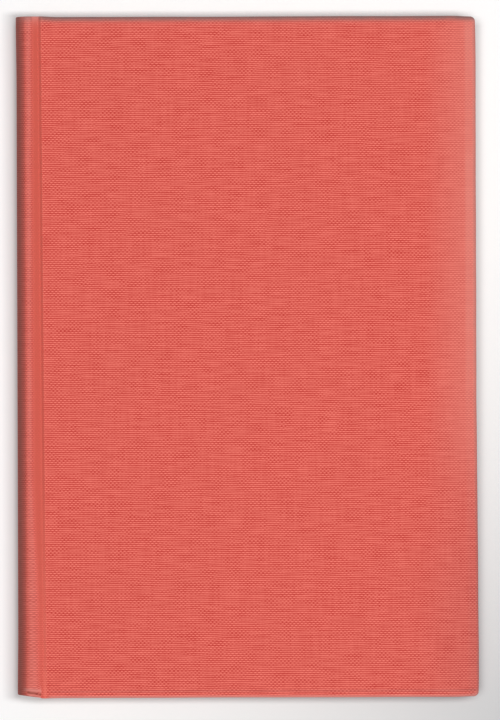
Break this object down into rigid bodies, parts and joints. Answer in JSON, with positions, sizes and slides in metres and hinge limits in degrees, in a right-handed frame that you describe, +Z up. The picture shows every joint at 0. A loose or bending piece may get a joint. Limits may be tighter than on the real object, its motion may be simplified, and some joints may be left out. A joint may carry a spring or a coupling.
{
  "type": "hardback book",
  "caption": "Closed cloth-bound hardback book with a rounded spine, pressed joint grooves and two covers that swing open.",
  "frame": {"origin": "on the surface the book lies on, under the middle of its whole width and height", "axes": "+X from the spine to the fore-edge, +Y from tail to head, +Z up from the back cover to the front cover"},
  "size_m": [0.1502, 0.222, 0.0238],
  "materials": {
    "pages": "matte",
    "endpaper": "matte",
    "mull": "matte",
    "kraft": "matte",
    "card": "matte",
    "band": "matte",
    "cloth": "matte",
    "greyboard": "matte"
  },
  "bodies": {
    "block": {"text_block": "pages", "front_flyleaf": "endpaper", "back_flyleaf": "endpaper", "mull": "mull", "spine_lining": "kraft", "head_band": "band", "tail_band": "band", "spine_inlay": "card", "spine_cloth": "cloth"},
    "front_cover": {"front_board": "greyboard", "front_cloth": "cloth", "front_mull_wing": "mull", "front_pastedown": "endpaper"},
    "back_cover": {"back_board": "greyboard", "back_cloth": "cloth", "back_mull_wing": "mull", "back_pastedown": "endpaper"}
  },
  "joints": [
    {"name": "front_cover_hinge", "type": "hinge", "parent": "block", "child": "front_cover", "pos_m": [-0.0702, 0, 0.0226], "axis": [0, -1, 0], "range_deg": [0, 180]},
    {"name": "back_cover_hinge", "type": "hinge", "parent": "block", "child": "back_cover", "pos_m": [-0.0702, 0, 0.0012], "axis": [0, 1, 0], "range_deg": [0, 180]}
  ]
}
